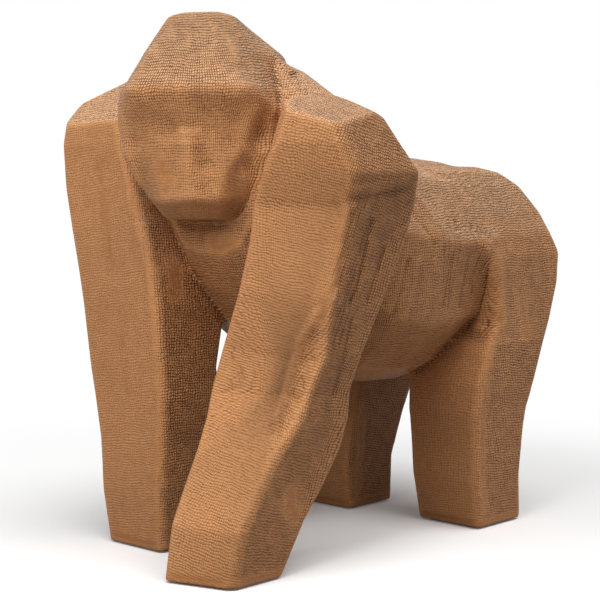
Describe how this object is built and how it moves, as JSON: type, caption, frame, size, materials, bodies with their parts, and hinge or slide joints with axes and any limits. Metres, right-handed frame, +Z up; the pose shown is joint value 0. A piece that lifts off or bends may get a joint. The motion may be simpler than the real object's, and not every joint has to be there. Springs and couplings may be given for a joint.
{
  "type": "gorilla figurine",
  "caption": "Walking gorilla figurine of faceted, matte brown cast resin with the imprint of a fine knitted gauze, standing on four padded limbs.",
  "frame": {"origin": "on the floor, in the middle of the figure's overall length and width", "axes": "+Z up, the chest faces -Y and the rump +Y, the figure's own left is +X"},
  "size_m": [0.2142, 0.2875, 0.298],
  "materials": {
    "cast_resin": "matte terracotta brown, imprinted with a fine knitted gauze",
    "felt": "pressed dark brown felt",
    "dowel_steel": "plain drawn rod",
    "plug_plastic": "matte brown moulded plastic"
  },
  "bodies": {
    "root": {"torso_casting": "cast_resin", "head_casting": "cast_resin", "left_arm_casting": "cast_resin", "right_arm_casting": "cast_resin", "left_leg_casting": "cast_resin", "right_leg_casting": "cast_resin", "left_hand_pad": "felt", "right_hand_pad": "felt", "left_foot_pad": "felt", "right_foot_pad": "felt", "neck_dowel_lower": "dowel_steel", "neck_dowel_upper": "dowel_steel", "left_shoulder_dowel_lower": "dowel_steel", "left_shoulder_dowel_upper": "dowel_steel", "left_hip_dowel_front": "dowel_steel", "left_hip_dowel_rear": "dowel_steel", "right_shoulder_dowel_lower": "dowel_steel", "right_shoulder_dowel_upper": "dowel_steel", "right_hip_dowel_front": "dowel_steel", "right_hip_dowel_rear": "dowel_steel", "pour_hole_plug": "plug_plastic"}
  },
  "joints": []
}
